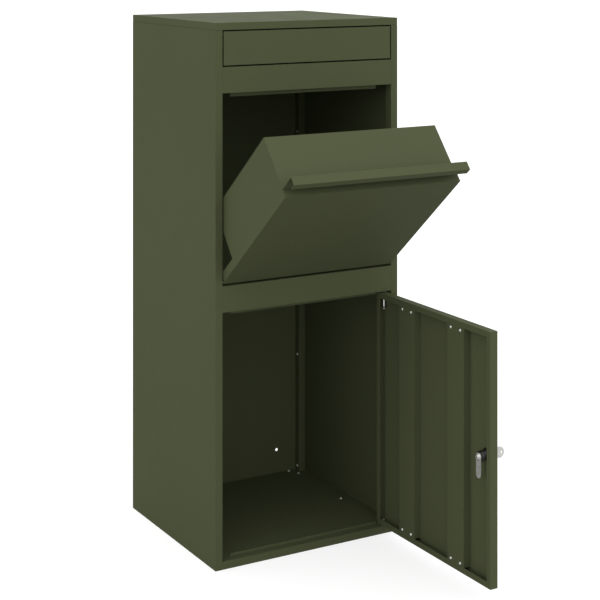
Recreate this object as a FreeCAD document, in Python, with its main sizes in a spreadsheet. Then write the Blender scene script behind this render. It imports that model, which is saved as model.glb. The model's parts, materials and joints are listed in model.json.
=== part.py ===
import FreeCAD, Part
import math
import os
import re
import Sketcher
from FreeCAD import Placement, Rotation, Vector

# A free-standing parcel drop box in folded sheet steel, in millimetres.
# Origin: centre of the base on the floor. +Z is up, and the front faces -Y.
# The model stands as the box is used: the lower door is open at a right angle, the
# parcel hopper is pulled open to its stop, and the letter flap is shut.
# Every piece is drawn where it sits with all the doors shut. The pieces of the door
# and of the hopper are then turned open together about their hinge lines.

SIZES = {
    # case
    "case_width": 405.0,
    "case_depth": 377.0,
    "case_height": 1020.0,
    "metal": 1.2,
    "seam": 0.2,
    "cap_height": 14.0,
    "stile_face": 14.5,
    "stile_return": 20.0,
    "corner_return": 16.5,
    "corner_slot": 1.5,
    "foot_flange": 32.0,
    "sill_height": 15.0,
    "rail_return": 20.0,
    "back_flange": 16.0,
    "inner_tab_gap": 5.0,
    "inner_tab_height": 20.0,
    # channel that carries the floor sheet
    "channel_half_length": 165.0,
    "channel_half_width": 25.0,
    "channel_foot": 12.0,
    # rivets
    "rivet_radius": 2.0,
    "rivet_head": 3.1,
    "rivet_crown": 2.4,
    "back_rivet_inset": 10.7,
    "back_rivet_low": 25.5,
    "back_rivet_pitch": 243.5,
    "floor_rivet_offset": 176.6,
    "floor_rivet_front": 172.0,
    "floor_rivet_rear": 348.4,
    "flange_rivet_offset": 165.2,
    "flange_rivet_rear": 371.3,
    # nylon bushes
    "bush_wall": 1.5,
    "bush_collar": 1.0,
    "door_top_collar": 2.6,
    "door_bush_reach": 2.6,
    "door_bush_sleeve": 3.0,
    "letter_bush_reach": 3.0,
    "letter_bush_sleeve": 2.5,
    # stop lips that the doors close against
    "lip_setback": 18.0,
    "lip_half_width": 163.0,
    "lip_height": 8.5,
    "floor_lip_height": 4.5,
    # levels of the front, from the floor up
    "rail_low": 479.0,
    "rail_top": 528.3,
    "fascia_low": 888.0,
    "fascia_top": 937.0,
    # wall fixing holes
    "wall_hole_radius": 3.3,
    "wall_hole_offset": 137.5,
    "wall_hole_low": 65.0,
    "wall_hole_top": 955.0,
    # letter flap
    "letter_half_width": 185.0,
    "letter_low": 940.0,
    "letter_top": 1003.4,
    "letter_depth": 12.0,
    "letter_hinge_setback": 7.0,
    "letter_hinge_level": 998.0,
    "letter_rod_radius": 2.0,
    "ear_low": 944.0,
    "ear_height": 9.0,
    "ear_setback": 20.8,
    "ear_overlap": 6.0,
    # parcel hopper
    "hopper_open_angle": 50.5,
    "hopper_half_width": 186.6,
    "hopper_hinge_setback": 4.0,
    "hopper_hinge_level": 535.5,
    "hopper_rod_radius": 2.6,
    "knuckle_radius": 4.0,
    "knuckle_clearance": 7.0,
    "hopper_panel_top": 842.0,
    "hopper_thickness": 17.4,
    "handle_top": 882.0,
    "handle_lip": 14.0,
    "chute_depth": 125.0,
    "chute_low": 595.5,
    "chute_hem": 14.0,
    "cheek_fold": 10.0,
    "lug_low": 597.5,
    "lug_top": 612.0,
    "lug_reach": 195.0,
    # lower door
    "door_open_angle": 90.0,
    "door_half_width": 185.8,
    "door_low": 17.0,
    "door_top": 476.0,
    "door_thickness": 16.0,
    "door_lip": 11.0,
    "door_hinge_offset": 175.0,
    "door_hinge_setback": 6.0,
    "door_pin_radius": 2.5,
    "bottom_pin_length": 16.0,
    "bottom_pin_low": 11.0,
    "top_pin_length": 40.5,
    "top_pin_drop": 33.5,
    "pin_chamfer": 1.0,
    "pin_bracket_drop": 30.0,
    "pin_bracket_leg": 12.0,
    "pin_bracket_half_width": 6.0,
    "stiffener_offset": 80.0,
    "stiffener_half_width": 25.5,
    "stiffener_foot": 8.0,
    "rivet_spacing": 14.65,
    "rivet_inset": 5.2,
    "tab_length": 9.0,
    # cam lock
    "lock_offset": 158.5,
    "lock_level": 248.0,
    "barrel_radius": 9.4,
    "lock_face_radius": 12.0,
    "lock_face_depth": 4.5,
    "lock_face_bevel": 1.5,
    "plug_radius": 6.0,
    "barrel_end": 20.5,
    "nut_across_flats": 22.0,
    "nut_depth": 5.0,
    "nut_bevel": 0.8,
    "cam_length": 39.0,
    "cam_radius": 6.8,
    "cam_thickness": 2.0,
    "cam_square": 7.0,
    "thread_pitch": 1.25,
    "thread_depth": 0.5,
    "keyway_half_width": 0.9,
    "keyway_half_height": 4.2,
    "keyway_depth": 19.5,
    "washer_radius": 5.5,
    "washer_thickness": 0.8,
    "screw_head_radius": 4.0,
    "screw_head_height": 2.6,
    "screw_head_bevel": 0.8,
    # key
    "key_half_thickness": 0.8,
    "key_half_height": 4.0,
    "key_blade_length": 14.0,
    "key_bow_radius": 10.5,
    "key_bow_reach": 20.0,
    "key_hole_radius": 2.4,
    "key_hole_reach": 25.5,
    # fits, and how far a rod end or a cutter runs past the metal
    "running_gap": 0.05,
    "hole_gap": 0.1,
    "rod_end": 3.0,
    "overshoot": 1.0,
}

doc = FreeCAD.newDocument("parcel_drop_box")
sheet = doc.addObject("Spreadsheet::Sheet", "Sizes")
for row, (alias, number) in enumerate(SIZES.items(), start=1):
    sheet.set(f"A{row}", alias)
    sheet.set(f"B{row}", str(number))
    sheet.setAlias(f"B{row}", alias)
doc.recompute()

FRONT = "-case_depth / 2"
BACK = "case_depth / 2"
nodes = {}


def size(alias):
    """One driving dimension, read back from the sheet."""
    return float(sheet.get(alias))


def bound(formula):
    """A size formula written as an expression that reads the sheet."""
    return re.sub(r"[a-z_]+", lambda word: "Sizes." + word.group(0), formula)


def behind_front(formula):
    """A position measured back from the plane of the case's front."""
    return f"{FRONT} + {formula}"


def keep(label, piece, placement=None):
    """Register a finished piece under its node name, moved to where it stands."""
    piece.Label = label
    if placement is not None:
        piece.Placement = placement
    nodes[label] = piece
    return piece


# ---------------------------------------------------------------- building blocks

def box(low, high):
    """A block between two opposite corners, each given as three size formulas."""
    block = doc.addObject("Part::Box", "block")
    for side, start, end in zip(("Length", "Width", "Height"), low, high):
        block.setExpression(side, bound(f"({end}) - ({start})"))
    for axis, start in zip("xyz", low):
        block.setExpression("Placement.Base." + axis, bound(start))
    return block


TURN_TO_AXIS = {
    "x": Rotation(Vector(0, 1, 0), 90),
    "y": Rotation(Vector(1, 0, 0), -90),
    "z": Rotation(),
}


def rod(axis, start, radius, length):
    """A cylinder that starts at a point and runs along +X, +Y or +Z."""
    cylinder = doc.addObject("Part::Cylinder", "rod")
    cylinder.Placement = Placement(Vector(), TURN_TO_AXIS[axis])
    cylinder.setExpression("Radius", bound(radius))
    cylinder.setExpression("Height", bound(length))
    for name, position in zip("xyz", start):
        cylinder.setExpression("Placement.Base." + name, bound(position))
    return cylinder


def fuse(pieces):
    """One folded or welded piece out of its overlapping blocks."""
    union = doc.addObject("Part::MultiFuse", "fused")
    union.Shapes = pieces
    union.Refine = True
    return union


def cut(base, tools):
    """A piece with every tool's volume taken away."""
    cutter = tools[0] if len(tools) == 1 else fuse(tools)
    result = doc.addObject("Part::Cut", "cut")
    result.Base = base
    result.Tool = cutter
    result.Refine = True
    return result


def group(pieces):
    """Identical loose pieces that share one node as separate solids."""
    compound = doc.addObject("Part::Compound", "group")
    compound.Links = pieces
    return compound


def mirrored(formula, side):
    """A formula on the right (side 1) or the left (side -1) of the case."""
    return f"{side} * ({formula})"


def box_beside(side, inner, outer, low, high):
    """A block on one side of the case, between two distances from its middle."""
    ends = [mirrored(inner, side), mirrored(outer, side)]
    if side < 0:
        ends.reverse()
    return box((ends[0], *low), (ends[1], *high))


def across(half, low, high):
    """A block centred on the case's middle plane, of a given half width."""
    return box((f"-({half})", *low), (half, *high))


# ---------------------------------------------------------------- sketched bodies

ORIGIN_PLANE = {"z": "XY_Plane", "y": "XZ_Plane"}


def new_body(name):
    return doc.addObject("PartDesign::Body", name)


def new_sketch(body, normal):
    """A sketch on the body's own origin plane whose normal is y or z."""
    sketch = body.newObject("Sketcher::SketchObject", "sketch")
    plane = [item for item in body.Origin.OriginFeatures
             if item.Role == ORIGIN_PLANE[normal]][0]
    sketch.AttachmentSupport = [(plane, "")]
    sketch.MapMode = "FlatFace"
    return sketch


def bind(sketch, constraint, formula):
    """Add a constraint and tie its value to the sheet."""
    index = sketch.addConstraint(constraint)
    sketch.setExpression(f"Constraints[{index}]", bound(formula))


def evaluate(formula):
    """The number a size formula gives with the sheet's present values."""
    return float(sheet.evalExpression(bound(formula)))


def outline(sketch, corners):
    """A closed outline of straight sides, with every corner tied to the sheet."""
    points = [Vector(evaluate(across_), evaluate(up), 0) for across_, up in corners]
    count = len(points)
    for index in range(count):
        sketch.addGeometry(Part.LineSegment(points[index], points[(index + 1) % count]))
    for index in range(count):
        sketch.addConstraint(Sketcher.Constraint(
            "Coincident", index, 2, (index + 1) % count, 1))
    for index, (across_, up) in enumerate(corners):
        point = points[index]
        bind(sketch, Sketcher.Constraint("DistanceX", -1, 1, index, 1, point.x), across_)
        bind(sketch, Sketcher.Constraint("DistanceY", -1, 1, index, 1, point.y), up)


def oblong(half_across, half_up):
    """The corners of a rectangle centred on the sketch's origin."""
    return [(f"-{half_across}", f"-{half_up}"), (half_across, f"-{half_up}"),
            (half_across, half_up), (f"-{half_across}", half_up)]


def circle(sketch, radius):
    """A full circle about the sketch's origin, with its radius tied to the sheet."""
    index = sketch.addGeometry(
        Part.Circle(Vector(), Vector(0, 0, 1), evaluate(radius)))
    sketch.addConstraint(Sketcher.Constraint("Coincident", index, 3, -1, 1))
    bind(sketch, Sketcher.Constraint("Radius", index, evaluate(radius)), radius)


def turned(name, corners):
    """A turned piece: an outline of (radius, height) corners spun about +Z."""
    body = new_body(name)
    sketch = new_sketch(body, "y")
    outline(sketch, corners)
    spin = body.newObject("PartDesign::Revolution", "spin")
    spin.Profile = sketch
    spin.ReferenceAxis = (sketch, ["V_Axis"])
    spin.Angle = 360
    return body


def pad(body, sketch, length, reverse=False):
    """Pull a sketch out into a solid."""
    feature = body.newObject("PartDesign::Pad", "pad")
    feature.Profile = sketch
    feature.setExpression("Length", bound(length))
    feature.Reversed = reverse
    return feature


POINTING = {
    "+z": Rotation(),
    "-z": Rotation(Vector(1, 0, 0), 180),
    "+y": Rotation(Vector(1, 0, 0), -90),
    "-y": Rotation(Vector(1, 0, 0), 90),
    "+x": Rotation(Vector(0, 1, 0), 90),
    "-x": Rotation(Vector(0, 1, 0), -90),
}


def stand(piece, direction, position):
    """Lay a piece's own +Z along a direction, with its origin tied to a point."""
    piece.Placement = Placement(Vector(), POINTING[direction])
    for name, formula in zip("xyz", position):
        piece.setExpression("Placement.Base." + name, bound(formula))
    return piece


# ---------------------------------------------------------------- open positions

def door_open():
    """The door turned open about its upright hinge line."""
    hinge = Vector(size("door_hinge_offset"),
                   size("door_hinge_setback") - size("case_depth") / 2, 0)
    return Placement(Vector(), Rotation(Vector(0, 0, 1), size("door_open_angle")), hinge)


def hopper_open():
    """The hopper tipped forward about the rod along its lower edge."""
    hinge = Vector(0, size("hopper_hinge_setback") - size("case_depth") / 2,
                   size("hopper_hinge_level"))
    return Placement(Vector(), Rotation(Vector(1, 0, 0), size("hopper_open_angle")), hinge)


# ---------------------------------------------------------------- case

HALF = "case_width / 2"
INSIDE = "case_width / 2 - metal"
STILE_EDGE = "case_width / 2 - stile_face"
PANEL_TOP = "case_height - cap_height - seam"
CORNER_EDGE = "case_width / 2 - corner_return"
CORNER_FRONT = f"{BACK} - corner_return"
BACK_HALF = "case_width / 2 - corner_return - seam"
DOOR_HINGE = ("door_hinge_offset", behind_front("door_hinge_setback"))
HOPPER_HINGE = (behind_front("hopper_hinge_setback"), "hopper_hinge_level")
LETTER_HINGE = (behind_front("letter_hinge_setback"), "letter_hinge_level")
BUSH_HOLE = "door_pin_radius + bush_wall + hole_gap"
UNDER_FLOOR = "sill_height - metal"
RIVET_HOLE = "rivet_radius + hole_gap"
BACK_RIVETS_A_SIDE = 5
DOME_FACETS = 3
NUT_SIDES = 6
THROUGH_SHEET = "metal + 2 * overshoot"


def back_rivet_points():
    """The back rivets up one corner: how far back, and how high."""
    return [(f"{BACK} - back_rivet_inset", f"back_rivet_low + {step} * back_rivet_pitch")
            for step in range(BACK_RIVETS_A_SIDE)]


def back_rivet_holes(side):
    """Cutters across one boxed corner's inner wall and the back panel's flange."""
    start = f"{mirrored(CORNER_EDGE, side)} - 2 * metal"
    return [rod("x", (start, y, level), RIVET_HOLE, "4 * metal")
            for y, level in back_rivet_points()]


def floor_rivet_points(side):
    """The rivets through the floor into one side panel's foot."""
    offset = mirrored("floor_rivet_offset", side)
    return [(offset, behind_front("floor_rivet_front")),
            (offset, behind_front("floor_rivet_rear"))]


def flange_rivet_points():
    """The rivets through the floor into the back panel's flange."""
    return [(mirrored("flange_rivet_offset", side), behind_front("flange_rivet_rear"))
            for side in (1, -1)]


def holes_along_y(start, length, points, radius):
    """Cutters that run along +Y through each (across, up) point."""
    return [rod("y", (x, start, level), radius, length) for x, level in points]


def holes_through_floor(points):
    """Cutters through the floor and whatever flange lies under it."""
    return [rod("z", (x, y, "0"), RIVET_HOLE, "2 * sill_height") for x, y in points]


def side_panel(label, side):
    """A side sheet folded into its front stile, boxed back corner, foot and top tab."""
    skin = box_beside(side, INSIDE, HALF, (FRONT, "0"), (BACK, PANEL_TOP))
    stile = box_beside(side, STILE_EDGE, HALF,
                       (FRONT, "0"), (behind_front("metal"), PANEL_TOP))
    jamb = box_beside(side, STILE_EDGE, f"{STILE_EDGE} + metal",
                      (FRONT, "0"), (behind_front("stile_return"), PANEL_TOP))
    corner = [
        box_beside(side, CORNER_EDGE, HALF, (f"{BACK} - metal", "0"), (BACK, PANEL_TOP)),
        box_beside(side, CORNER_EDGE, f"{CORNER_EDGE} + metal",
                   (CORNER_FRONT, "0"), (BACK, PANEL_TOP)),
        box_beside(side, CORNER_EDGE, f"{INSIDE} - corner_slot",
                   (CORNER_FRONT, "0"), (f"{CORNER_FRONT} + metal", PANEL_TOP)),
    ]
    tab_front = behind_front("stile_return + inner_tab_gap")
    tab_rear = f"{CORNER_FRONT} - inner_tab_gap"
    foot = box_beside(side, f"{INSIDE} - foot_flange", HALF,
                      (tab_front, f"{UNDER_FLOOR} - metal"), (tab_rear, UNDER_FLOOR))
    tab = box_beside(side, f"{INSIDE} - metal", INSIDE,
                     (tab_front, f"{PANEL_TOP} - inner_tab_height"),
                     (tab_rear, "case_height - metal - seam"))
    jamb_middle = mirrored(f"{STILE_EDGE} + metal / 2", side)
    start = f"{jamb_middle} - metal / 2 - overshoot"
    hinge_hole = rod("x", (start, *HOPPER_HINGE), "hopper_rod_radius + hole_gap",
                     THROUGH_SHEET)
    flap_hole = rod("x", (start, *LETTER_HINGE), "letter_rod_radius + bush_wall + hole_gap",
                    THROUGH_SHEET)
    rivet_holes = [*back_rivet_holes(side), *holes_through_floor(floor_rivet_points(side))]
    sheet_metal = fuse([skin, stile, jamb, *corner, foot, tab])
    return keep(label, cut(sheet_metal, [hinge_hole, flap_hole, *rivet_holes]))


def top_cap():
    """The roof: a flat sheet with a narrow skirt folded down all round."""
    outer = across(HALF, (FRONT, "case_height - cap_height"), (BACK, "case_height"))
    hollow = across(INSIDE, (behind_front("metal"), "case_height - cap_height - overshoot"),
                    (f"{BACK} - metal", "case_height - metal"))
    return keep("top_cap", cut(outer, [hollow]))


def base_pan():
    """The floor, with the front sill folded down and the door's stop lip turned up."""
    sill_half = f"{STILE_EDGE} - seam"
    floor_half = f"{INSIDE} - seam"
    front_part = across(sill_half, (FRONT, UNDER_FLOOR),
                        (behind_front("stile_return + overshoot"), "sill_height"))
    main_part = across(floor_half, (behind_front("stile_return + seam"), UNDER_FLOOR),
                       (f"{CORNER_FRONT} - seam", "sill_height"))
    rear_part = across(f"{BACK_HALF} - metal - seam",
                       (f"{CORNER_FRONT} - overshoot", UNDER_FLOOR),
                       (f"{BACK} - metal - seam", "sill_height"))
    sill = across(sill_half, (FRONT, "0"), (behind_front("metal"), "sill_height"))
    lip = across("lip_half_width", (behind_front("lip_setback"), UNDER_FLOOR),
                 (behind_front("lip_setback + metal"), "sill_height + floor_lip_height"))
    bush_hole = rod("z", (*DOOR_HINGE, "0"), BUSH_HOLE, "2 * sill_height")
    rivets = holes_through_floor([*floor_rivet_points(1), *floor_rivet_points(-1),
                                  *flange_rivet_points()])
    return keep("base_pan", cut(fuse([front_part, main_part, rear_part, sill, lip]),
                                [bush_hole, *rivets]))


def floor_channel():
    """The channel under the floor: it stands on the ground and carries the floor."""
    wall = "channel_half_width"
    web = across("channel_half_length", (f"-{wall}", "0"), (wall, "metal"))
    parts = [web]
    for near, far in ((wall, f"{wall} - metal"), (f"-{wall} + metal", f"-{wall}")):
        parts.append(across("channel_half_length", (far, "0"), (near, UNDER_FLOOR)))
    for near, far in ((f"{wall} + channel_foot", f"{wall} - metal"),
                      (f"-{wall} + metal", f"-{wall} - channel_foot")):
        parts.append(across("channel_half_length", (far, f"{UNDER_FLOOR} - metal"),
                            (near, UNDER_FLOOR)))
    return keep("floor_channel", fuse(parts))


def back_panel():
    """A shallow pan between the boxed corners, with four wall fixing holes."""
    skin = across(BACK_HALF, (f"{BACK} - metal", "0"), (BACK, PANEL_TOP))
    flange_front = f"{BACK} - back_flange"
    flanges = [box_beside(side, f"{BACK_HALF} - metal", BACK_HALF,
                          (flange_front, "0"), (BACK, PANEL_TOP))
               for side in (1, -1)]
    flanges.append(across(f"{INSIDE} - foot_flange - seam",
                          (flange_front, f"{UNDER_FLOOR} - metal"), (BACK, UNDER_FLOOR)))
    wall_points = [(mirrored("wall_hole_offset", side), level) for side in (1, -1)
                   for level in ("wall_hole_low", "wall_hole_top")]
    holes = [*holes_along_y(f"{BACK} - metal - overshoot", THROUGH_SHEET, wall_points,
                            "wall_hole_radius"),
             *back_rivet_holes(1), *back_rivet_holes(-1),
             *holes_through_floor(flange_rivet_points())]
    return keep("back_panel", cut(fuse([skin, *flanges]), holes))


def front_rail(label, low, high, holes=None):
    """A rail between the stiles, folded back along both edges, with a stop lip."""
    half = f"{STILE_EDGE} - seam"
    face = across(half, (FRONT, low), (behind_front("metal"), high))
    upper = across(half, (FRONT, f"{high} - metal"), (behind_front("rail_return"), high))
    lower = across(half, (FRONT, low), (behind_front("rail_return"), f"{low} + metal"))
    lip = across("lip_half_width", (behind_front("lip_setback"), f"{low} - lip_height"),
                 (behind_front("lip_setback + metal"), f"{low} + metal"))
    rail = fuse([face, upper, lower, lip])
    return keep(label, cut(rail, holes) if holes else rail)


def flanged_bush(rod_radius, collar_radius, collar, sleeve):
    """A nylon bush: a collar of a given thickness, then a sleeve of a given length."""
    bore = f"{rod_radius} + running_gap"
    outer = f"{rod_radius} + bush_wall"
    top = f"{collar} + {sleeve}"
    return turned("bush", [
        (bore, "0"),
        (collar_radius, "0"),
        (collar_radius, collar),
        (outer, collar),
        (outer, top),
        (bore, top),
    ])


def door_bushes():
    """The bushes in the sill and the middle rail that carry the door's pins."""
    pair = []
    for collar, direction, level in (
            ("bush_collar", "-z", "sill_height + bush_collar"),
            ("door_top_collar", "+z", "rail_low - door_top_collar")):
        bush = flanged_bush("door_pin_radius", "door_pin_radius + door_bush_reach",
                            collar, "door_bush_sleeve")
        pair.append(stand(bush, direction, (*DOOR_HINGE, level)))
    return keep("door_hinge_bushes", group(pair))


def letter_bushes():
    """The bushes in the stiles that carry the letter flap's rod."""
    pair = []
    for side, direction in ((1, "+x"), (-1, "-x")):
        bush = flanged_bush("letter_rod_radius", "letter_rod_radius + letter_bush_reach",
                            "bush_collar", "letter_bush_sleeve")
        pair.append(stand(bush, direction,
                          (mirrored(f"{STILE_EDGE} - bush_collar", side), *LETTER_HINGE)))
    return keep("letter_flap_bushes", group(pair))


def rivet(shank_length):
    """A dome-headed rivet: its shank runs up +Z from under the head at z = 0."""
    dome = []
    for step in range(DOME_FACETS + 1):
        angle = math.pi / 2 * step / DOME_FACETS
        dome.append((f"rivet_head * {math.sin(angle):.4f}",
                     f"-rivet_crown * {math.cos(angle):.4f}"))
    return turned("rivet", [
        *dome,
        ("rivet_radius", "0"),
        ("rivet_radius", shank_length),
        ("0", shank_length),
    ])


def back_rivets():
    """The rivets that hold the back panel's flanges to the boxed corners."""
    rows = []
    for side, direction in ((1, "+x"), (-1, "-x")):
        face = mirrored(f"{BACK_HALF} - metal", side)
        rows += [stand(rivet("2 * metal + seam"), direction, (face, y, level))
                 for y, level in back_rivet_points()]
    return keep("back_panel_rivets", group(rows))


def floor_rivets():
    """The rivets that hold the floor to the flanges folded in under it."""
    points = [*floor_rivet_points(1), *floor_rivet_points(-1), *flange_rivet_points()]
    return keep("floor_rivets", group([
        stand(rivet("2 * metal"), "-z", (x, y, "sill_height")) for x, y in points]))


def hopper_hinge_rod():
    """The fixed steel rod that the hopper's rolled edge turns on."""
    half = f"({STILE_EDGE} + metal + rod_end)"
    return keep("hopper_hinge_rod", rod("x", (f"-{half}", *HOPPER_HINGE),
                                        "hopper_rod_radius", f"2 * {half}"))


# ---------------------------------------------------------------- letter flap

def letter_flap():
    """A shallow pan hinged along its top, with an ear behind each stile."""
    half = "letter_half_width"
    outer = across(half, (FRONT, "letter_low"), (behind_front("letter_depth"), "letter_top"))
    hollow = across(f"{half} - metal", (behind_front("metal"), "letter_low + metal"),
                    (behind_front("letter_depth + overshoot"), "letter_top - metal"))
    pan = cut(outer, [hollow])
    pieces = [pan]
    for side in (1, -1):
        pieces.append(box_beside(
            side, f"{half} - metal", half,
            (behind_front("letter_depth - metal"), "ear_low"),
            (behind_front("ear_setback + metal"), "ear_low + ear_height")))
        pieces.append(box_beside(
            side, f"{half} - metal", f"{STILE_EDGE} + ear_overlap",
            (behind_front("ear_setback"), "ear_low"),
            (behind_front("ear_setback + metal"), "ear_low + ear_height")))
    bore = rod("x", (f"-{HALF}", *LETTER_HINGE), "letter_rod_radius + running_gap",
               "case_width")
    return keep("letter_flap", cut(fuse(pieces), [bore]))


def letter_flap_rod():
    """The steel rod that carries the letter flap."""
    half = f"({STILE_EDGE} + metal + rod_end)"
    return keep("letter_flap_rod", rod("x", (f"-{half}", *LETTER_HINGE),
                                       "letter_rod_radius", f"2 * {half}"))


# ---------------------------------------------------------------- parcel hopper

def hopper_front():
    """The hopper's face: rolled round its rod below, recessed to a grip on top."""
    half = "hopper_half_width"
    back = behind_front("hopper_thickness")
    inner_back = behind_front("hopper_thickness - metal")
    skin_front = behind_front("metal")
    face = across(half, (FRONT, "hopper_hinge_level"), (skin_front, "hopper_panel_top"))
    shelf = across(half, (FRONT, "hopper_panel_top - metal"), (back, "hopper_panel_top"))
    web = across(half, (inner_back, "hopper_panel_top - metal"), (back, "handle_top"))
    roof = across(half, (FRONT, "handle_top - metal"), (back, "handle_top"))
    lip = across(half, (FRONT, "handle_top - handle_lip"), (skin_front, "handle_top"))
    flanges = [box_beside(side, f"{half} - metal", half,
                          (FRONT, "hopper_hinge_level + knuckle_clearance"),
                          (back, "hopper_panel_top"))
               for side in (1, -1)]
    start = (f"-{half}", *HOPPER_HINGE)
    knuckle = rod("x", start, "knuckle_radius", f"2 * {half}")
    bore = rod("x", start, "hopper_rod_radius + running_gap", f"2 * {half}")
    sheet_metal = fuse([face, shelf, web, roof, lip, *flanges, knuckle])
    return keep("hopper_front", cut(sheet_metal, [bore]), hopper_open())


def hopper_chute():
    """The hopper's closed top and the sloping back that parcels slide down."""
    half = "hopper_half_width - metal - seam"
    top = across(half, (behind_front("metal + seam"), "hopper_panel_top - 2 * metal"),
                 (behind_front("chute_depth"), "hopper_panel_top - metal"))
    back = across(half, (behind_front("chute_depth - metal"), "chute_low"),
                  (behind_front("chute_depth"), "hopper_panel_top - metal"))
    hem = across(half, (behind_front("chute_depth - chute_hem"), "chute_low"),
                 (behind_front("chute_depth"), "chute_low + metal"))
    return keep("hopper_chute", fuse([top, back, hem]), hopper_open())


def hopper_cheek(label, side):
    """A side wall of the hopper, with the lug that stops it behind the stile."""
    outer = "hopper_half_width - metal - seam"
    inner = "hopper_half_width - 2 * metal - seam"
    wall = box_beside(side, inner, outer,
                      (behind_front("metal + seam"), "chute_low + metal + seam"),
                      (behind_front("chute_depth - metal - seam"),
                       "hopper_panel_top - 2 * metal - seam"))
    lug = box_beside(side, inner, "lug_reach",
                     (behind_front("chute_depth - 2 * metal - seam"), "lug_low"),
                     (behind_front("chute_depth - metal - seam"), "lug_top"))
    low = "chute_low + metal + seam"
    fold = box_beside(side, f"{outer} - cheek_fold", outer,
                      (behind_front("metal + seam"), low),
                      (behind_front("chute_depth - chute_hem - 2 * metal"),
                       f"{low} + metal"))
    return keep(label, fuse([wall, lug, fold]), hopper_open())


# ---------------------------------------------------------------- lower door

def door_rivet_points(side):
    """Where one stiffener's rivets sit, as seen with the door shut."""
    middle = mirrored("stiffener_offset", side)
    return [(f"{middle} + {shift} * rivet_spacing", level) for shift in (1, -1)
            for level in ("door_low + door_lip + rivet_inset",
                          "door_top - door_lip - rivet_inset")]


def door_panel():
    """The door: a deep pan with its edges returned inward all round."""
    half = "door_half_width"
    back = behind_front("door_thickness")
    outer = across(half, (FRONT, "door_low"), (back, "door_top"))
    hollow = across(f"{half} - metal", (behind_front("metal"), "door_low + metal"),
                    (behind_front("door_thickness - metal"), "door_top - metal"))
    window = box((f"-{half} + door_lip", behind_front("door_thickness - 2 * metal"),
                  "door_low + door_lip"),
                 (f"{half} - door_lip", behind_front("door_thickness + overshoot"),
                  "door_top - door_lip"))
    pan = cut(outer, [hollow, window])
    tabs = []
    for side in (1, -1):
        for low, high in (("door_low + metal", "door_low + door_lip + tab_length"),
                          ("door_top - door_lip - tab_length", "door_top - metal")):
            middle = mirrored("stiffener_offset", side)
            reach = "(stiffener_half_width - 3 * metal)"
            tabs.append(box(
                (f"{middle} - {reach}", behind_front("door_thickness - 2 * metal"), low),
                (f"{middle} + {reach}", behind_front("door_thickness - metal"), high)))
    pin_bore = rod("z", (*DOOR_HINGE, "0"), "door_pin_radius + running_gap", "rail_top")
    lock_hole = rod("y", ("-lock_offset", f"{FRONT} - overshoot", "lock_level"),
                    "barrel_radius + hole_gap", THROUGH_SHEET)
    holes = [hole for side in (1, -1)
             for hole in holes_along_y(behind_front("door_thickness - 3 * metal"),
                                       "3 * metal", door_rivet_points(side),
                                       RIVET_HOLE)]
    return keep("door_panel", cut(fuse([pan, *tabs]), [pin_bore, lock_hole, *holes]),
                door_open())


def door_stiffener(label, side):
    """An upright channel between the door's lips, with its feet turned in on the skin."""
    middle = mirrored("stiffener_offset", side)
    low = "door_low + door_lip + seam"
    high = "door_top - door_lip - seam"
    skin = behind_front("metal")
    back = behind_front("door_thickness")

    def upright(left, right, start, end):
        return box((f"{middle} + {left}", start, low), (f"{middle} + {right}", end, high))

    web = upright("-stiffener_half_width", "stiffener_half_width",
                  behind_front("door_thickness - metal"), back)
    parts = [web]
    for sign in (1, -1):
        outer = f"{sign} * stiffener_half_width"
        wall = [f"{sign} * (stiffener_half_width - metal)", outer]
        foot = [f"{sign} * (stiffener_half_width - stiffener_foot)", outer]
        if sign < 0:
            wall.reverse()
            foot.reverse()
        parts.append(upright(*wall, skin, back))
        parts.append(upright(*foot, skin, behind_front("2 * metal")))
    holes = holes_along_y(behind_front("door_thickness - 2 * metal"), "3 * metal",
                          door_rivet_points(side), RIVET_HOLE)
    return keep(label, cut(fuse(parts), holes), door_open())


def door_rivets():
    """The rivets at the ends of the door's stiffeners."""
    points = [*door_rivet_points(1), *door_rivet_points(-1)]
    return keep("stiffener_rivets", group([
        stand(rivet("2 * metal"), "-y", (x, behind_front("door_thickness"), level))
        for x, level in points]), door_open())


def door_bottom_pin():
    """The fixed pin under the door's hinge corner."""
    return keep("door_bottom_pin", rod("z", (*DOOR_HINGE, "bottom_pin_low"),
                                       "door_pin_radius", "bottom_pin_length"),
                door_open())


def door_top_pin():
    """The sliding pin at the door's upper hinge corner, chamfered at both ends."""
    body = turned("top_pin", [
        ("0", "0"),
        ("door_pin_radius - pin_chamfer", "0"),
        ("door_pin_radius", "pin_chamfer"),
        ("door_pin_radius", "top_pin_length - pin_chamfer"),
        ("door_pin_radius - pin_chamfer", "top_pin_length"),
        ("0", "top_pin_length"),
    ])
    start = Vector(evaluate(DOOR_HINGE[0]), evaluate(DOOR_HINGE[1]),
                   evaluate("door_top - top_pin_drop"))
    return keep("door_top_pin", body, door_open() * Placement(start, Rotation()))


def hinge_pin_bracket():
    """The guide on the door's edge that the sliding pin passes through."""
    wall = "door_half_width - metal"
    level = "door_top - pin_bracket_drop"
    front = behind_front("metal")
    back = behind_front("door_thickness - 3 * metal")
    plate = box(("door_hinge_offset - pin_bracket_half_width", front, level),
                (wall, back, f"{level} + metal"))
    leg = box((f"{wall} - metal", front, f"{level} - pin_bracket_leg"),
              (wall, back, f"{level} + metal"))
    bore = rod("z", (*DOOR_HINGE, f"{level} - overshoot"), "door_pin_radius + running_gap",
               THROUGH_SHEET)
    return keep("hinge_pin_bracket", cut(fuse([plate, leg]), [bore]), door_open())


# ---------------------------------------------------------------- cam lock

def lock_place(setback):
    """A piece's own +Z laid along the lock's axis, into the box, then swung open."""
    point = Vector(-size("lock_offset"), setback - size("case_depth") / 2,
                   size("lock_level"))
    return door_open() * Placement(point, Rotation(Vector(1, 0, 0), -90))


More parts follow.
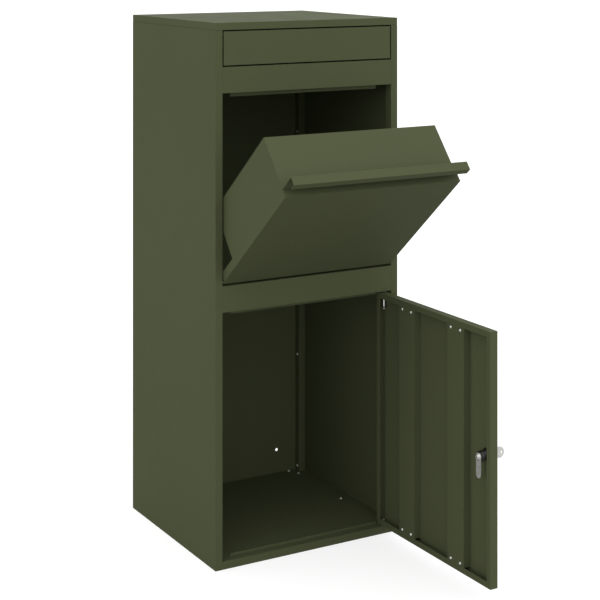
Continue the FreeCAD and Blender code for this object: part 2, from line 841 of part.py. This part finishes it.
def lock_barrel():
    """The lock's threaded body, with its round face outside the door."""
    bore = "plug_radius + running_gap"
    root = "barrel_radius - thread_depth"
    corners = [
        (bore, "-lock_face_depth"),
        ("lock_face_radius - lock_face_bevel", "-lock_face_depth"),
        ("lock_face_radius", "lock_face_bevel - lock_face_depth"),
        ("lock_face_radius", "0"),
        ("barrel_radius", "0"),
        ("barrel_radius", "metal"),
    ]
    first = "(metal + nut_depth + thread_depth)"
    turns = int(evaluate(f"(barrel_end - {first}) / thread_pitch - 0.5"))
    for turn in range(turns):
        corners.append(("barrel_radius", f"{first} + {turn} * thread_pitch"))
        corners.append((root, f"{first} + {turn + 0.5} * thread_pitch"))
    corners.append((root, "barrel_end"))
    corners.append((bore, "barrel_end"))
    return keep("lock_barrel", turned("barrel", corners), lock_place(0))


def lock_nut():
    """The hexagon nut that clamps the lock to the door's skin."""
    body = new_body("nut")
    flats = new_sketch(body, "z")
    corners = []
    for step in range(NUT_SIDES):
        angle = 2 * math.pi * step / NUT_SIDES
        corners.append((f"nut_across_flats * {math.cos(angle) / math.sqrt(3):.6f}",
                        f"nut_across_flats * {math.sin(angle) / math.sqrt(3):.6f}"))
    outline(flats, corners)
    pad(body, flats, "nut_depth")
    doc.recompute()
    bore = new_sketch(body, "z")
    circle(bore, "barrel_radius + hole_gap")
    pocket = body.newObject("PartDesign::Pocket", "bore")
    pocket.Profile = bore
    pocket.Type = "ThroughAll"
    pocket.Reversed = True
    doc.recompute()
    bevel = body.newObject("PartDesign::Chamfer", "bevel")
    top_edges = [f"Edge{index}" for index, edge in enumerate(pocket.Shape.Edges, start=1)
                 if len(edge.Vertexes) == 2
                 and edge.BoundBox.ZMin > size("nut_depth") / 2]
    bevel.Base = (pocket, top_edges)
    bevel.setExpression("Size", bound("nut_bevel"))
    body.Tip = bevel
    return keep("lock_nut", body, lock_place(size("metal")))


def lock_plug():
    """The turning core of the lock, square at its inner end."""
    body = new_body("plug")
    round_part = new_sketch(body, "z")
    circle(round_part, "plug_radius")
    pad(body, round_part, "lock_face_depth + barrel_end")
    doc.recompute()
    square_part = new_sketch(body, "z")
    outline(square_part, oblong("(cam_square / 2)", "(cam_square / 2)"))
    square = pad(body, square_part, "lock_face_depth + barrel_end + cam_thickness")
    doc.recompute()
    keyway = new_sketch(body, "z")
    outline(keyway, oblong("keyway_half_width", "keyway_half_height"))
    slot = body.newObject("PartDesign::Pocket", "keyway")
    slot.Profile = keyway
    slot.setExpression("Length", bound("keyway_depth"))
    slot.Reversed = True
    doc.recompute()
    if slot.Shape.Volume >= square.Shape.Volume:
        raise RuntimeError("the keyway cut nothing")
    body.Tip = slot
    return keep("lock_plug", body, lock_place(-size("lock_face_depth")))


def lock_cam():
    """The flat tongue behind the door, hanging down while the lock is undone."""
    body = new_body("cam")
    blade = new_sketch(body, "z")
    top = "cam_radius"
    tip = "(cam_length - cam_radius)"
    right, left, low = size("cam_radius"), -size("cam_radius"), evaluate(tip)
    blade.addGeometry(Part.LineSegment(Vector(right, 0, 0), Vector(right, low, 0)))
    blade.addGeometry(Part.ArcOfCircle(
        Part.Circle(Vector(0, low, 0), Vector(0, 0, 1), right), 0, math.pi))
    blade.addGeometry(Part.LineSegment(Vector(left, low, 0), Vector(left, 0, 0)))
    blade.addGeometry(Part.ArcOfCircle(
        Part.Circle(Vector(0, 0, 0), Vector(0, 0, 1), right), math.pi, 2 * math.pi))
    for first, first_end, second, second_end in ((0, 2, 1, 1), (1, 2, 2, 1),
                                                 (2, 2, 3, 1), (3, 2, 0, 1)):
        blade.addConstraint(Sketcher.Constraint(
            "Tangent", first, first_end, second, second_end))
    blade.addConstraint(Sketcher.Constraint("Coincident", 3, 3, -1, 1))
    blade.addConstraint(Sketcher.Constraint("Vertical", 0))
    bind(blade, Sketcher.Constraint("Radius", 3, right), top)
    bind(blade, Sketcher.Constraint("DistanceY", -1, 1, 1, 3, low), tip)
    plate = pad(body, blade, "cam_thickness")
    doc.recompute()
    square = new_sketch(body, "z")
    half = "(cam_square / 2 + running_gap)"
    outline(square, oblong(half, half))
    hole = body.newObject("PartDesign::Pocket", "square_hole")
    hole.Profile = square
    hole.Type = "ThroughAll"
    hole.Reversed = True
    doc.recompute()
    if hole.Shape.Volume >= plate.Shape.Volume:
        raise RuntimeError("the cam's square hole cut nothing")
    body.Tip = hole
    return keep("lock_cam", body, lock_place(size("barrel_end")))


def cam_screw():
    """The screw and washer face that hold the cam on the plug."""
    crown = "(washer_thickness + screw_head_height)"
    corners = [
        ("0", "0"),
        ("washer_radius", "0"),
        ("washer_radius", "washer_thickness"),
        ("screw_head_radius", "washer_thickness"),
        ("screw_head_radius", f"{crown} - screw_head_bevel"),
        ("screw_head_radius - screw_head_bevel", crown),
        ("0", crown),
    ]
    setback = size("barrel_end") + size("cam_thickness")
    return keep("cam_screw", turned("screw", corners), lock_place(setback))


def lock_key():
    """The key standing in the lock: a plain blade and a rounded bow with one hole."""
    near = "-key_half_thickness"
    thickness = "2 * key_half_thickness"
    blade = box((near, "-key_half_height", "-key_blade_length"),
                ("key_half_thickness", "key_half_height", "key_blade_length"))
    bow = rod("x", (near, "0", "-key_bow_reach"), "key_bow_radius", thickness)
    hole = rod("x", (near, "0", "-key_hole_reach"), "key_hole_radius", thickness)
    return keep("lock_key", cut(fuse([blade, bow]), [hole]),
                lock_place(-size("lock_face_depth")))


# ---------------------------------------------------------------- assembly

def build():
    """Make every piece of the drop box."""
    side_panel("right_side_panel", 1)
    side_panel("left_side_panel", -1)
    top_cap()
    base_pan()
    floor_channel()
    back_panel()
    front_rail("upper_fascia", "fascia_low", "fascia_top")
    pin_hole = rod("z", (*DOOR_HINGE, "rail_low - overshoot"), BUSH_HOLE, THROUGH_SHEET)
    front_rail("middle_rail", "rail_low", "rail_top", [pin_hole])
    door_bushes()
    letter_bushes()
    back_rivets()
    floor_rivets()
    hopper_hinge_rod()
    letter_flap()
    letter_flap_rod()
    hopper_front()
    hopper_chute()
    hopper_cheek("right_hopper_cheek", 1)
    hopper_cheek("left_hopper_cheek", -1)
    door_panel()
    door_stiffener("hinge_side_stiffener", 1)
    door_stiffener("lock_side_stiffener", -1)
    door_rivets()
    door_bottom_pin()
    door_top_pin()
    hinge_pin_bracket()
    lock_barrel()
    lock_nut()
    lock_plug()
    lock_cam()
    cam_screw()
    lock_key()
    doc.recompute()


def check():
    """Stop if any object failed, or any piece is empty or not a sound solid."""
    for item in doc.Objects:
        if "Invalid" in item.State or "Error" in item.State:
            raise RuntimeError(f"{item.Label} did not build: {item.State}")
    for label, piece in nodes.items():
        shape = piece.Shape
        if shape.isNull() or not shape.isValid() or not shape.Solids:
            raise RuntimeError(f"{label} has no sound solid")


build()
check()
os.makedirs("parts", exist_ok=True)
for label, piece in nodes.items():
    piece.Shape.exportStep(f"parts/{label}.step")
print(len(nodes), "pieces written")
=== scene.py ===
import json
import math
import bpy
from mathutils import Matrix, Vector

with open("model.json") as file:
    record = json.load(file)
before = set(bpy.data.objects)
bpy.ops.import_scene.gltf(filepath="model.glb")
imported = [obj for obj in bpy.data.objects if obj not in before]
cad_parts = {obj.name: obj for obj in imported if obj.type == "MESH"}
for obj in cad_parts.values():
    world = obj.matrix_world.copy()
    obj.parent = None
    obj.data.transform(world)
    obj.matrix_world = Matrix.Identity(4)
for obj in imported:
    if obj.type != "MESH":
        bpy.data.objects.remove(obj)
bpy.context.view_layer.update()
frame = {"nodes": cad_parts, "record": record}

# The finishes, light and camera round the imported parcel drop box. Metres, +Z up, and the
# case's front faces -Y. The box stands on the floor at z = 0. A finish's grain is given as
# so many lumps a metre, its reliefs and worn bands in metres, and its roughness as a range.

OLIVE = (0.0790, 0.0900, 0.0455)
OLIVE_DEEP = (0.0750, 0.0855, 0.0430)
OLIVE_FLECK = (0.0860, 0.0975, 0.0520)
OLIVE_WORN = (0.120, 0.132, 0.078)
ZINC = (0.88, 0.88, 0.87)
ZINC_TINT = (0.80, 0.79, 0.74)
CHROME = (0.82, 0.83, 0.85)
CHROME_SOILED = (0.62, 0.62, 0.62)
BLACK_OXIDE = (0.060, 0.060, 0.064)
BLACK_OXIDE_BROWN = (0.085, 0.078, 0.070)
NYLON = (0.030, 0.030, 0.032)
NYLON_SCUFFED = (0.12, 0.12, 0.12)
WHITE = (1.0, 1.0, 1.0, 1.0)

PAINT_CLOUDS = 3.0
PAINT_FLECKS = 900.0
PAINT_FLECK_START = 0.52
PAINT_FLECK_END = 0.72
PAINT_RUBS = 60.0
PAINT_RUBBED_SHARE = 0.6
PAINT_WORN_BAND = 0.0008
PAINT_PEEL = 600.0
PAINT_PEEL_DEPTH = 0.00003
PAINT_SHEEN_PATCHES = 25.0
PAINT_ROUGHNESS = (0.50, 0.58)
PAINT_SPECULAR = 0.025

ZINC_SPANGLE = 180.0
ZINC_LINES = 1200.0
ZINC_LINES_RUN = (1.0, 1.0, 0.15)
ZINC_LINES_DEPTH = 0.00001
ZINC_ROUGHNESS = (0.34, 0.50)

CHROME_SOILING = 220.0
CHROME_SOILED_SHARE = 0.6
CHROME_SCRATCHES = 2500.0
CHROME_SCRATCHES_RUN = (1.0, 0.08, 1.0)
CHROME_SCRATCH_DEPTH = 0.000004
CHROME_ROUGHNESS = (0.07, 0.20)

OXIDE_PATCHES = 260.0
OXIDE_GRAIN = 1800.0
OXIDE_GRAIN_DEPTH = 0.000006
OXIDE_RUBBED_SHARE = 0.35
OXIDE_RUBBED_BAND = 0.0003
OXIDE_ROUGHNESS = (0.28, 0.42)

NYLON_GRAIN = 1500.0
NYLON_GRAIN_DEPTH = 0.00001
NYLON_SCUFFED_SHARE = 0.5
NYLON_ROUGHNESS = (0.45, 0.62)

HARDWARE_WORN_BAND = 0.0004
WORN_SAMPLES = 4
EDGE_MATCH = 0.80
FLAT_MATCH = 0.995

SKY_LIGHT = 1.36
SKY_BEHIND = 0.85
FLOOR_SEEN = 0.35
FLOOR_GLOW = 0.74
FLOOR_BOUNCE = 0.48
FLOOR_HALF = 30.0
FLOOR_MOTTLE = 3.0
FLOOR_ROUGHNESS = (0.75, 0.9)

PHOTO_DISTANCE = 3.1546
PHOTO_ROUND = math.radians(28.67)
PHOTO_YAW = math.radians(30.0536)
PHOTO_HEIGHT = 1.17035
PHOTO_LENS = 93.256
PHOTO_SHIFT = -0.59665
STATION_REACH = 0.1

SHEET_EDGE = 0.00045
SMALL_EDGE = 0.00015
SAME_POINT = 0.000001
FLAT_ANGLE = math.radians(1)
FOLD_ANGLE = math.radians(35)


# ---------------------------------------------------------------- shader building

class Shader:
    """A material whose nodes are added one at a time."""

    def __init__(self, name):
        self.material = bpy.data.materials.new(name)
        self.material.use_nodes = True
        self.tree = self.material.node_tree
        self.tree.nodes.clear()
        self.place = self.add("ShaderNodeTexCoord").outputs["Object"]

    def add(self, kind, inputs=None, **settings):
        """One node, with its settings, and its inputs linked or given a value."""
        node = self.tree.nodes.new(kind)
        for name, value in settings.items():
            setattr(node, name, value)
        for name, value in (inputs or {}).items():
            if isinstance(value, bpy.types.NodeSocket):
                self.tree.links.new(value, node.inputs[name])
            else:
                node.inputs[name].default_value = value
        return node

    def noise(self, scale, detail=3.0, stretch=(1.0, 1.0, 1.0)):
        """A noise of so many lumps a metre, drawn out along an axis where asked."""
        place = self.add("ShaderNodeMapping", {"Vector": self.place, "Scale": stretch})
        return self.add("ShaderNodeTexNoise", {
            "Vector": place.outputs["Vector"],
            "Scale": scale,
            "Detail": detail,
        }).outputs["Fac"]

    def spread(self, value, low, high, start=0.3, end=0.7):
        """A value between start and end, mapped onto low to high."""
        return self.add("ShaderNodeMapRange", {
            "Value": value,
            "From Min": start,
            "From Max": end,
            "To Min": low,
            "To Max": high,
        }).outputs["Result"]

    def times(self, first, second):
        """The product of two values."""
        return self.add("ShaderNodeMath", {0: first, 1: second},
                        operation="MULTIPLY").outputs["Value"]

    def mix(self, share, first, second):
        """A colour between two, each a triple or another node's colour."""
        node = self.add("ShaderNodeMix", {"Factor": share}, data_type="RGBA")
        sockets = [socket for socket in node.inputs if socket.type == "RGBA"]
        for socket, colour in zip(sockets, (first, second)):
            if isinstance(colour, bpy.types.NodeSocket):
                self.tree.links.new(colour, socket)
            else:
                socket.default_value = (*colour, 1.0)
        return next(socket for socket in node.outputs if socket.type == "RGBA")

    def edges(self, radius):
        """How near a point is to a fold or a cut edge: 0 on the flat, 1 at the edge."""
        rounded = self.add("ShaderNodeBevel", {"Radius": radius}, samples=WORN_SAMPLES)
        flat = self.add("ShaderNodeNewGeometry").outputs["Normal"]
        match = self.add("ShaderNodeVectorMath", {
            0: rounded.outputs["Normal"],
            1: flat,
        }, operation="DOT_PRODUCT").outputs["Value"]
        return self.spread(match, 1.0, 0.0, start=EDGE_MATCH, end=FLAT_MATCH)

    def bump(self, height, depth):
        """A surface relief of the given depth."""
        return self.add("ShaderNodeBump", {
            "Height": height,
            "Distance": depth,
            "Strength": 1.0,
        }).outputs["Normal"]

    def finish(self, **inputs):
        """The surface itself, and the finished material."""
        named = {name.replace("_", " "): value for name, value in inputs.items()}
        surface = self.add("ShaderNodeBsdfPrincipled", named)
        output = self.add("ShaderNodeOutputMaterial")
        self.tree.links.new(surface.outputs["BSDF"], output.inputs["Surface"])
        return self.material


# ---------------------------------------------------------------- finishes

def olive_paint():
    """Matt powder coat: faint clouds, fine flecks, orange peel, and thin over the folds."""
    paint = Shader("olive_powder_coat")
    clouds = paint.spread(paint.noise(PAINT_CLOUDS), 0.0, 1.0)
    cloudy = paint.mix(clouds, OLIVE_DEEP, OLIVE)
    flecks = paint.spread(paint.noise(PAINT_FLECKS, detail=2.0), 0.0, 1.0,
                          start=PAINT_FLECK_START, end=PAINT_FLECK_END)
    body = paint.mix(flecks, cloudy, OLIVE_FLECK)
    rubs = paint.spread(paint.noise(PAINT_RUBS, detail=5.0), 0.0, PAINT_RUBBED_SHARE)
    worn = paint.times(paint.edges(PAINT_WORN_BAND), rubs)
    peel = paint.noise(PAINT_PEEL, detail=2.0)
    sheen = paint.noise(PAINT_SHEEN_PATCHES, detail=6.0)
    return paint.finish(
        Base_Color=paint.mix(worn, body, OLIVE_WORN),
        Roughness=paint.spread(sheen, *PAINT_ROUGHNESS),
        Specular_IOR_Level=PAINT_SPECULAR,
        Normal=paint.bump(peel, PAINT_PEEL_DEPTH),
    )


def zinc_steel():
    """Bright zinc plate: drawn lines, with a faint yellow passivation."""
    zinc = Shader("bright_zinc")
    spangle = zinc.spread(zinc.noise(ZINC_SPANGLE), 0.0, 1.0)
    tint = zinc.mix(spangle, ZINC, ZINC_TINT)
    lines = zinc.noise(ZINC_LINES, detail=2.0, stretch=ZINC_LINES_RUN)
    worn = zinc.edges(HARDWARE_WORN_BAND)
    return zinc.finish(
        Base_Color=zinc.mix(worn, tint, CHROME),
        Metallic=1.0,
        Roughness=zinc.spread(lines, *ZINC_ROUGHNESS),
        Normal=zinc.bump(lines, ZINC_LINES_DEPTH),
    )


def chrome():
    """Polished chrome plate with light scratches and a little soiling."""
    plate = Shader("polished_chrome")
    soiled = plate.spread(plate.noise(CHROME_SOILING, detail=4.0), 0.0, CHROME_SOILED_SHARE)
    scratches = plate.noise(CHROME_SCRATCHES, detail=2.0, stretch=CHROME_SCRATCHES_RUN)
    worn = plate.edges(HARDWARE_WORN_BAND)
    tone = plate.mix(soiled, CHROME, CHROME_SOILED)
    return plate.finish(
        Base_Color=plate.mix(worn, tone, CHROME),
        Metallic=1.0,
        Roughness=plate.spread(scratches, *CHROME_ROUGHNESS),
        Normal=plate.bump(scratches, CHROME_SCRATCH_DEPTH),
    )


def black_oxide():
    """Oil-blackened steel, browned in patches and rubbed bright on its corners."""
    steel = Shader("black_oxide_steel")
    patches = steel.spread(steel.noise(OXIDE_PATCHES, detail=4.0), 0.0, 1.0)
    tone = steel.mix(patches, BLACK_OXIDE, BLACK_OXIDE_BROWN)
    grain = steel.noise(OXIDE_GRAIN)
    rubbed = steel.times(steel.edges(OXIDE_RUBBED_BAND), OXIDE_RUBBED_SHARE)
    return steel.finish(
        Base_Color=steel.mix(rubbed, tone, CHROME_SOILED),
        Metallic=1.0,
        Roughness=steel.spread(grain, *OXIDE_ROUGHNESS),
        Normal=steel.bump(grain, OXIDE_GRAIN_DEPTH),
    )


def nylon():
    """Moulded black nylon, faintly grained and scuffed grey at its edges."""
    plastic = Shader("black_nylon")
    grain = plastic.noise(NYLON_GRAIN)
    worn = plastic.times(plastic.edges(HARDWARE_WORN_BAND), NYLON_SCUFFED_SHARE)
    return plastic.finish(
        Base_Color=plastic.mix(worn, NYLON, NYLON_SCUFFED),
        Roughness=plastic.spread(grain, *NYLON_ROUGHNESS),
        Normal=plastic.bump(grain, NYLON_GRAIN_DEPTH),
    )


def paint_pieces():
    """Give every CAD piece the finish of its material slot."""
    finishes = {
        "olive_paint": olive_paint(),
        "zinc_steel": zinc_steel(),
        "chrome": chrome(),
        "black_oxide": black_oxide(),
        "nylon": nylon(),
    }
    for part in frame["record"]["subparts"]:
        piece = frame["nodes"][part["node"]]
        piece.data.materials.clear()
        piece.data.materials.append(finishes[part["material_slot"]])


def round_edges():
    """Ease every sharp edge a little: folds and cut edges are never knife sharp."""
    for part in frame["record"]["subparts"]:
        piece = frame["nodes"][part["node"]]
        weld = piece.modifiers.new("weld", "WELD")
        weld.merge_threshold = SAME_POINT
        whole = piece.modifiers.new("whole_faces", "DECIMATE")
        whole.decimate_type = "DISSOLVE"
        whole.angle_limit = FLAT_ANGLE
        bevel = piece.modifiers.new("ease", "BEVEL")
        bevel.width = SHEET_EDGE if part["material_slot"] == "olive_paint" else SMALL_EDGE
        bevel.segments = 2
        bevel.limit_method = "ANGLE"
        bevel.angle_limit = FOLD_ANGLE
        bevel.use_clamp_overlap = True
        piece.modifiers.new("weighted", "WEIGHTED_NORMAL")


# ---------------------------------------------------------------- stage, light, camera

def floor():
    """A wide pale floor. It looks nearly white, and throws a soft light back up."""
    signs = ((-1, -1), (1, -1), (1, 1), (-1, 1))
    corners = [(x * FLOOR_HALF, y * FLOOR_HALF, 0.0) for x, y in signs]
    mesh = bpy.data.meshes.new("studio_floor")
    mesh.from_pydata(corners, [], [(0, 1, 2, 3)])
    plane = bpy.data.objects.new("studio_floor", mesh)
    bpy.context.scene.collection.objects.link(plane)
    shade = Shader("pale_floor")
    seen = shade.add("ShaderNodeLightPath").outputs["Is Camera Ray"]
    plane.data.materials.append(shade.finish(
        Base_Color=shade.spread(seen, FLOOR_BOUNCE, FLOOR_SEEN, start=0.0, end=1.0),
        Roughness=shade.spread(shade.noise(FLOOR_MOTTLE), *FLOOR_ROUGHNESS),
        Emission_Color=WHITE,
        Emission_Strength=shade.times(seen, FLOOR_GLOW),
    ))


def sky():
    """A soft white studio, even but for a dimmer back wall, and plain white to the eye."""
    world = bpy.data.worlds.new("studio")
    bpy.context.scene.world = world
    world.use_nodes = True
    nodes, links = world.node_tree.nodes, world.node_tree.links
    backdrop = nodes["Background"]
    backdrop.inputs["Color"].default_value = WHITE
    way = nodes.new("ShaderNodeSeparateXYZ")
    links.new(nodes.new("ShaderNodeTexCoord").outputs["Generated"], way.inputs["Vector"])
    light = nodes.new("ShaderNodeMapRange")
    light.inputs["To Min"].default_value = SKY_LIGHT
    light.inputs["To Max"].default_value = SKY_BEHIND
    links.new(way.outputs["Y"], light.inputs["Value"])
    strength = nodes.new("ShaderNodeMapRange")
    links.new(light.outputs["Result"], strength.inputs["To Min"])
    strength.inputs["To Max"].default_value = 1.0
    links.new(nodes.new("ShaderNodeLightPath").outputs["Is Camera Ray"],
              strength.inputs["Value"])
    links.new(strength.outputs["Result"], backdrop.inputs["Strength"])


def camera():
    """The camera, level and shifted down, so that uprights stay upright."""
    data = bpy.data.cameras.new("camera")
    eye = bpy.data.objects.new("camera", data)
    bpy.context.scene.collection.objects.link(eye)
    eye.location = Vector((-PHOTO_DISTANCE * math.sin(PHOTO_ROUND),
                           -PHOTO_DISTANCE * math.cos(PHOTO_ROUND), PHOTO_HEIGHT))
    eye.rotation_euler = (math.radians(90), 0.0, -PHOTO_YAW)
    data.lens = PHOTO_LENS
    shift_only_at(eye, eye.location.copy())
    bpy.context.scene.camera = eye


def shift_only_at(eye, station):
    """Shift the lens while the camera stands at its station, and nowhere else."""
    mark = bpy.data.objects.new("camera_station", None)
    bpy.context.scene.collection.objects.link(mark)
    mark.location = station
    curve = eye.data.driver_add("shift_y")
    curve.driver.type = "AVERAGE"
    gap = curve.driver.variables.new()
    gap.type = "LOC_DIFF"
    gap.targets[0].id = eye
    gap.targets[1].id = mark
    for modifier in list(curve.modifiers):
        curve.modifiers.remove(modifier)
    for distance, shift in ((0.0, PHOTO_SHIFT), (STATION_REACH, 0.0)):
        key = curve.keyframe_points.insert(distance, shift)
        key.interpolation = "LINEAR"
    curve.extrapolation = "CONSTANT"


paint_pieces()
round_edges()
floor()
sky()
camera()
bpy.context.scene.view_settings.view_transform = "Standard"
